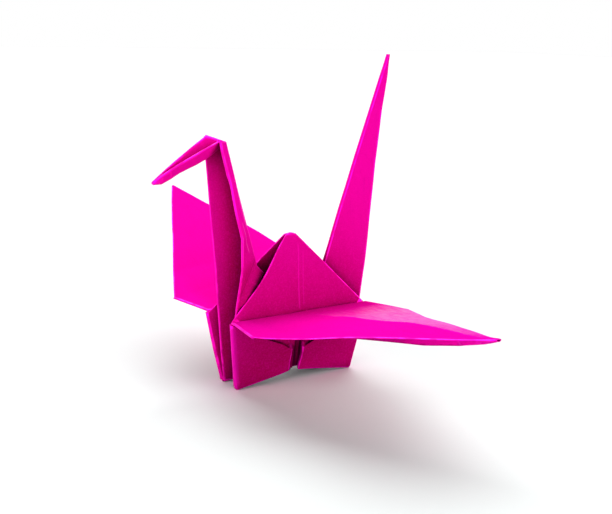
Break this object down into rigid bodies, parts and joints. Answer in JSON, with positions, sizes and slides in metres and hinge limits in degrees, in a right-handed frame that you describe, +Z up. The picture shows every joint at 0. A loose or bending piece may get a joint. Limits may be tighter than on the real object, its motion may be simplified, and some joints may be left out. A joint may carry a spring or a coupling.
{
  "type": "origami crane",
  "caption": "Crane folded from one square of magenta paper, standing, with raised wings, a bent neck and an upright tail.",
  "frame": {"origin": "on the ground below the middle of the body, where the crane stands", "axes": "+X towards the tail, the neck is on -X; +Y towards the higher wing; +Z up"},
  "size_m": [0.0603, 0.1296, 0.0735],
  "materials": {
    "magenta_paper": "matt"
  },
  "bodies": {
    "root": {"folded_crane": "magenta_paper"}
  },
  "joints": []
}
